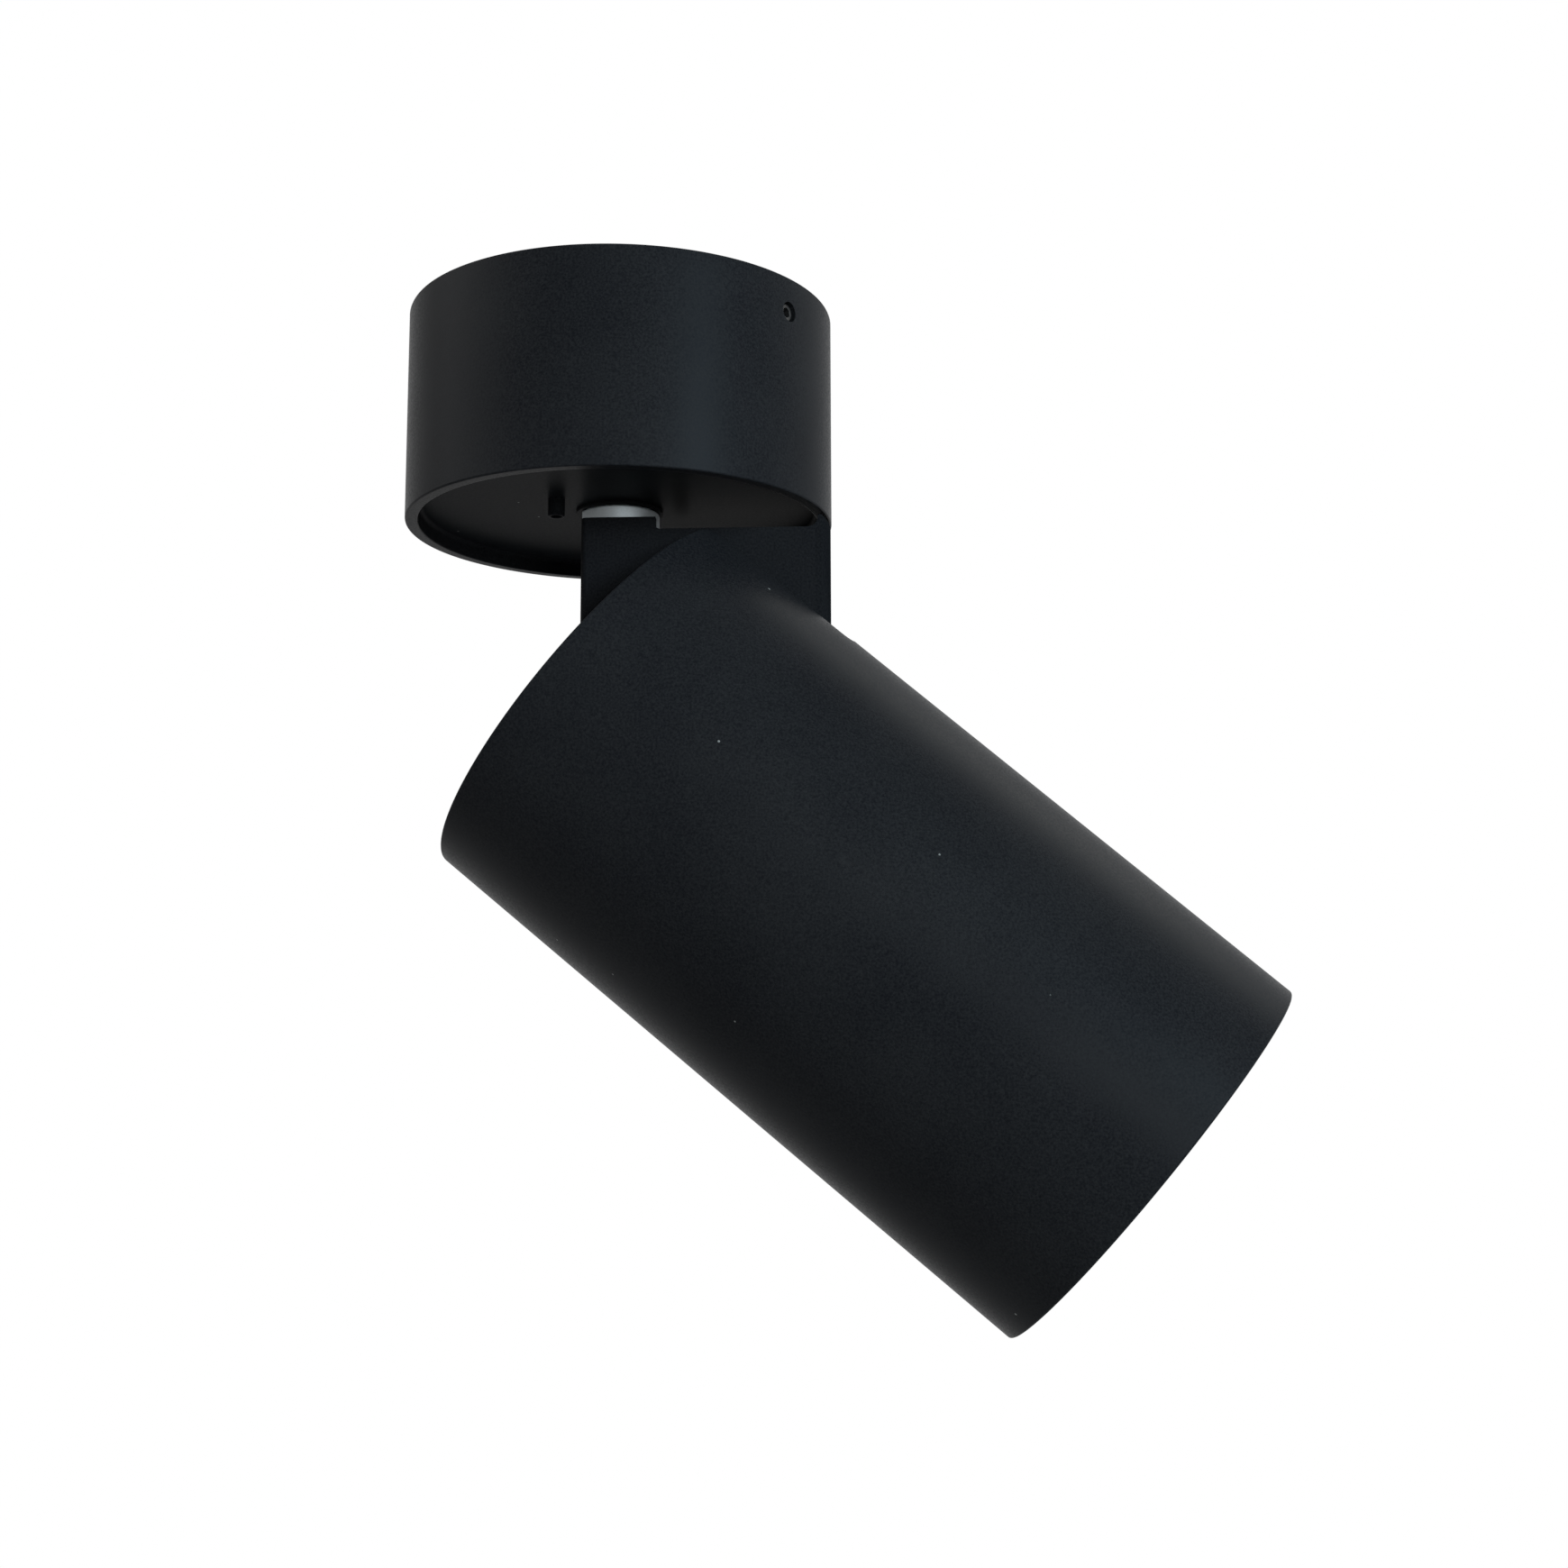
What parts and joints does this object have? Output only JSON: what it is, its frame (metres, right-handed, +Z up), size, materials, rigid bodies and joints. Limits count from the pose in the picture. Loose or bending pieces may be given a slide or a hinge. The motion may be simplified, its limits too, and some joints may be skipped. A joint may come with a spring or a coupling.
{
  "type": "surface mounted spotlight",
  "caption": "Black surface-mounted ceiling downlight: a round canopy, an arm that swivels under it and a cylindrical lamp tube that folds out on a hinge.",
  "frame": {"origin": "middle of the ceiling face, on the axis of the canopy and of the swivel", "axes": "+Z up into the ceiling; the tube tips towards +X; the hinge axis is along Y"},
  "size_m": [0.2017, 0.1, 0.2355],
  "materials": {
    "black_aluminium": "satin black powder coat on aluminium",
    "bare_aluminium": "satin",
    "mirror_aluminium": "polished",
    "black_steel": "black oxide",
    "zinc_steel": "zinc plated",
    "zinc_cast": "satin",
    "brass": "satin",
    "black_rubber": "matte",
    "black_plastic": "matte",
    "white_plastic": "matte",
    "cream_plastic": "matte",
    "circuit_board": "satin",
    "phosphor": "satin",
    "clear_glass": "clear"
  },
  "bodies": {
    "canopy": {"canopy_shell": "black_aluminium", "ceiling_strap": "zinc_steel", "side_screws": "black_steel", "strap_grommet": "black_rubber", "earth_screw": "brass", "driver_case": "white_plastic", "driver_lid": "white_plastic", "driver_board": "circuit_board", "terminal_block": "cream_plastic", "terminal_screws": "brass", "case_screws": "zinc_steel", "stop_pin": "black_steel", "lower_washer": "black_plastic", "upper_washer": "black_plastic"},
    "arm": {"swivel_nipple": "zinc_steel", "swivel_collar": "zinc_cast", "swivel_spring": "zinc_steel", "swivel_nuts": "zinc_steel", "swivel_arm": "black_aluminium", "arm_cover": "black_steel", "cover_screws": "black_steel", "arm_grommet": "black_rubber", "hinge_washers": "black_plastic"},
    "lamp": {"hinge_yoke": "black_steel", "yoke_screws": "zinc_steel", "hinge_pin": "zinc_steel", "hinge_nut": "zinc_steel", "hinge_springs": "zinc_steel", "lamp_tube": "black_aluminium", "heat_sink": "bare_aluminium", "sink_grommet": "black_rubber", "led_chip": "bare_aluminium", "led_emitter": "phosphor", "chip_holder": "white_plastic", "holder_screws": "zinc_steel", "reflector": "mirror_aluminium", "glass_gasket": "black_rubber", "front_glass": "clear_glass", "glare_ring": "black_plastic"}
  },
  "joints": [
    {"name": "arm_swivel", "type": "hinge", "parent": "canopy", "child": "arm", "pos_m": [0, 0, -0.05], "axis": [0, 0, 1], "range_deg": [-165, 165]},
    {"name": "lamp_tilt", "type": "hinge", "parent": "arm", "child": "lamp", "pos_m": [0.037, 0, -0.0798], "axis": [0, -1, 0], "range_deg": [-50, 40]}
  ]
}
